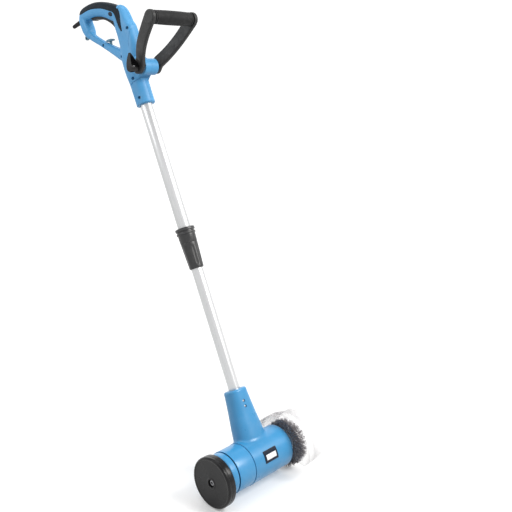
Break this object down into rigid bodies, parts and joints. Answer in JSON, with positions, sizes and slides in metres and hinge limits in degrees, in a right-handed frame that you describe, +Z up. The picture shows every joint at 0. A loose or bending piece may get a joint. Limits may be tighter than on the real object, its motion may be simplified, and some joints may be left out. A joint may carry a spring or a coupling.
{
  "type": "electric patio cleaner",
  "caption": "Long-handled electric joint brush: D-handle with trigger, tilting loop handle, telescopic tube, motor head with side brush, clear hood and guide wheel.",
  "frame": {"origin": "centre of the hand grip on the D-handle, in the tool's middle plane", "axes": "+Z up, +Y forward away from the user, +X to the user's right, where the guide wheel is. The tool leans back 24.6 degrees from the vertical in its working stance."},
  "size_m": [0.297, 0.7506, 1.112],
  "materials": {
    "blue_plastic": "satin moulded",
    "black_plastic": "fine grain",
    "gloss_black_plastic": "polished",
    "soft_rubber": "soft touch",
    "navy_plastic": "moulded",
    "aluminium_tube": "brushed anodised",
    "steel": "machined",
    "zinc_plate": "zinc plated",
    "copper": "wound and laminated",
    "clear_plastic": "clear",
    "bristle_nylon": "bristles",
    "nylon": "moulded",
    "grey_plastic": "moulded"
  },
  "bodies": {
    "handle": {"handle_shell_right": "blue_plastic", "handle_shell_left": "blue_plastic", "soft_grip": "soft_rubber", "handle_screw_1": "steel", "handle_screw_2": "steel", "handle_screw_3": "steel", "handle_screw_4": "steel", "handle_screw_5": "steel", "cable_boot": "soft_rubber", "cable_clamp": "grey_plastic", "cord_hook": "navy_plastic", "hang_lug": "grey_plastic", "switch_body": "black_plastic", "trigger_spring": "steel", "upper_tube": "aluminium_tube", "clamp_body": "black_plastic", "collet": "nylon", "coiled_lead": "soft_rubber"},
    "trigger": {"trigger": "black_plastic"},
    "lock_button": {"lock_button": "navy_plastic"},
    "twist_nut": {"twist_nut": "black_plastic"},
    "clamp_lever": {"clamp_lever": "gloss_black_plastic"},
    "loop_handle": {"loop_arm_right": "black_plastic", "loop_arm_left": "black_plastic", "loop_core": "grey_plastic", "loop_grip": "soft_rubber", "detent_disc_right": "steel", "detent_disc_left": "steel", "pivot_bolt": "steel", "pivot_nut": "steel", "lever_pin": "steel"},
    "head": {"head_housing": "blue_plastic", "neck_screw_1": "steel", "neck_screw_2": "steel", "lower_tube": "aluminium_tube", "motor_cover": "blue_plastic", "end_cap": "blue_plastic", "motor_can": "steel", "gearbox_plate": "nylon", "idler_pin": "steel", "spindle_bearing": "steel", "rear_bearing": "steel", "brush_holder": "black_plastic", "wheel_axle": "zinc_plate", "label_plate": "navy_plastic", "brush_guard": "clear_plastic", "guard_screw_1": "steel", "guard_screw_2": "steel"},
    "rotor": {"rotor_shaft": "steel", "rotor_core": "copper", "commutator": "copper", "cooling_fan": "nylon"},
    "idler": {"idler_gear": "nylon"},
    "spindle": {"output_gear": "steel", "spindle": "steel", "brush_shank": "zinc_plate", "brush_plate_inner": "zinc_plate", "brush_plate_outer": "zinc_plate", "bristle_ring": "bristle_nylon"},
    "wheel": {"wheel": "gloss_black_plastic"}
  },
  "joints": [
    {"name": "extension", "type": "slide", "parent": "handle", "child": "head", "axis": [0, 0.4163, -0.9092], "range_m": [-0.15, 0.15], "deforming": ["coiled_lead"]},
    {"name": "twist_lock", "type": "hinge", "parent": "handle", "child": "twist_nut", "pos_m": [0, 0.33653, -0.58611], "axis": [0, -0.4163, 0.9092], "range_deg": [0, 90]},
    {"name": "trigger_press", "type": "hinge", "parent": "handle", "child": "trigger", "pos_m": [0, -0.03073, -0.02177], "axis": [1, 0, 0], "range_deg": [0, 4], "stiffness_Nm_per_rad": 1.2, "springref_deg": -3.44, "deforming": ["trigger_spring"]},
    {"name": "lock_press", "type": "slide", "parent": "handle", "child": "lock_button", "axis": [-1, 0, 0], "range_m": [0, 0.003], "stiffness_N_per_m": 150, "springref_m": -0.004},
    {"name": "loop_tilt", "type": "hinge", "parent": "handle", "child": "loop_handle", "pos_m": [0, 0.18374, -0.14189], "axis": [1, 0, 0], "range_deg": [-70, 45]},
    {"name": "clamp_lever_swing", "type": "hinge", "parent": "loop_handle", "child": "clamp_lever", "pos_m": [0.0466, 0.18374, -0.14189], "axis": [0, 0.9844, 0.1757], "range_deg": [0, 90]},
    {"name": "wheel_spin", "type": "hinge", "parent": "head", "child": "wheel", "pos_m": [0.132, 0.54259, -1.03618], "axis": [1, 0, 0], "continuous": true},
    {"name": "brush_spin", "type": "hinge", "parent": "head", "child": "spindle", "pos_m": [-0.105, 0.54051, -1.03163], "axis": [1, 0, 0], "continuous": true},
    {"name": "rotor_spin", "type": "hinge", "parent": "head", "child": "rotor", "pos_m": [0.02, 0.54051, -1.03163], "axis": [1, 0, 0], "continuous": true},
    {"name": "idler_spin", "type": "hinge", "parent": "head", "child": "idler", "pos_m": [-0.054, 0.53052, -1.00981], "axis": [1, 0, 0], "continuous": true}
  ],
  "couplings": [
    {"joint": "rotor_spin", "follows": "brush_spin", "ratio": 7.2857},
    {"joint": "idler_spin", "follows": "brush_spin", "ratio": -2.4286}
  ]
}
